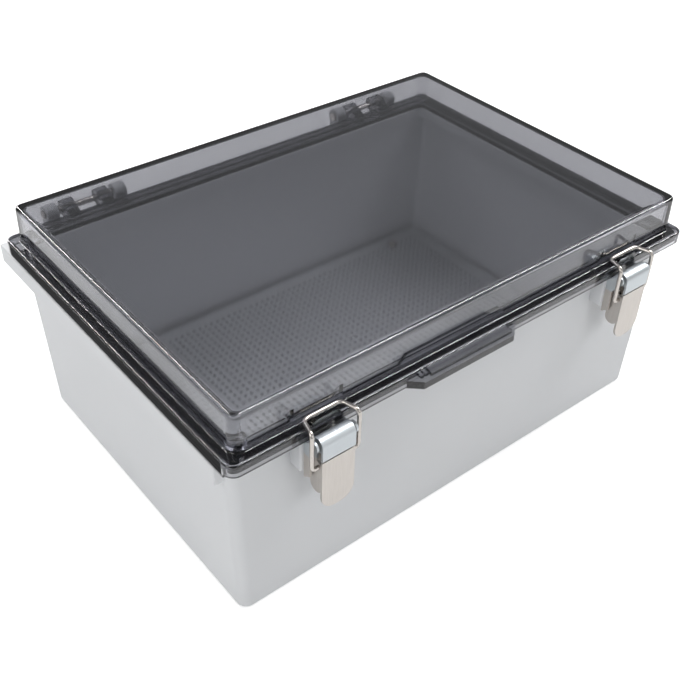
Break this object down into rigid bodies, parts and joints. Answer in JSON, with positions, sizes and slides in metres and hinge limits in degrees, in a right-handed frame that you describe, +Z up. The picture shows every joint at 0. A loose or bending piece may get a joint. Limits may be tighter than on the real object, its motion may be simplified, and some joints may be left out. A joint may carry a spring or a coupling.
{
  "type": "hinged polycarbonate enclosure",
  "caption": "Tapered plastic box with a clear smoked cover on rear hinges, steel draw latches, a rim gasket and a perforated mounting panel inside.",
  "frame": {"origin": "middle of the flat underside of the base, at the outline's centre without rails and hinges", "axes": "+X along the long side, towards the right latch; -Y towards the latches and +Y towards the hinges; +Z up out of the base"},
  "size_m": [0.35, 0.2727, 0.1515],
  "materials": {
    "base_plastic": "light grey, fine satin",
    "cover_plastic": "clear, smoked grey, polished",
    "gasket_rubber": "black",
    "steel": "stainless, lightly brushed",
    "panel_metal": "grey, matt",
    "brass": "turned"
  },
  "bodies": {
    "base": {"base_shell": "base_plastic", "rim_gasket": "gasket_rubber", "hinge_pin_left": "steel", "hinge_pin_right": "steel", "latch_bracket_left": "steel", "latch_bracket_right": "steel", "bracket_screws_left": "steel", "bracket_screws_right": "steel", "bracket_inserts_left": "brass", "bracket_inserts_right": "brass", "lever_pin_left": "steel", "lever_pin_right": "steel", "mounting_panel": "panel_metal", "panel_screws": "steel", "panel_inserts": "brass", "wall_inserts": "brass"},
    "cover": {"cover_shell": "cover_plastic"},
    "lever_left": {"latch_lever_left": "steel"},
    "lever_right": {"latch_lever_right": "steel"},
    "bail_left": {"latch_bail_left": "steel"},
    "bail_right": {"latch_bail_right": "steel"}
  },
  "joints": [
    {"name": "cover_hinge", "type": "hinge", "parent": "base", "child": "cover", "pos_m": [0, 0.1315, 0.1284], "axis": [-1, 0, 0], "range_deg": [0, 180]},
    {"name": "lever_left_hinge", "type": "hinge", "parent": "base", "child": "lever_left", "pos_m": [-0.117, -0.131, 0.1205], "axis": [-1, 0, 0], "range_deg": [0, 150]},
    {"name": "bail_left_hinge", "type": "hinge", "parent": "lever_left", "child": "bail_left", "pos_m": [-0.117, -0.1323, 0.1065], "axis": [-1, 0, 0], "range_deg": [-187.5, 0]},
    {"name": "lever_right_hinge", "type": "hinge", "parent": "base", "child": "lever_right", "pos_m": [0.117, -0.131, 0.1205], "axis": [-1, 0, 0], "range_deg": [0, 150]},
    {"name": "bail_right_hinge", "type": "hinge", "parent": "lever_right", "child": "bail_right", "pos_m": [0.117, -0.1323, 0.1065], "axis": [-1, 0, 0], "range_deg": [-187.5, 0]}
  ],
  "couplings": [
    {"joint": "bail_left_hinge", "follows": "lever_left_hinge", "ratio": -1.25},
    {"joint": "bail_right_hinge", "follows": "lever_right_hinge", "ratio": -1.25}
  ]
}
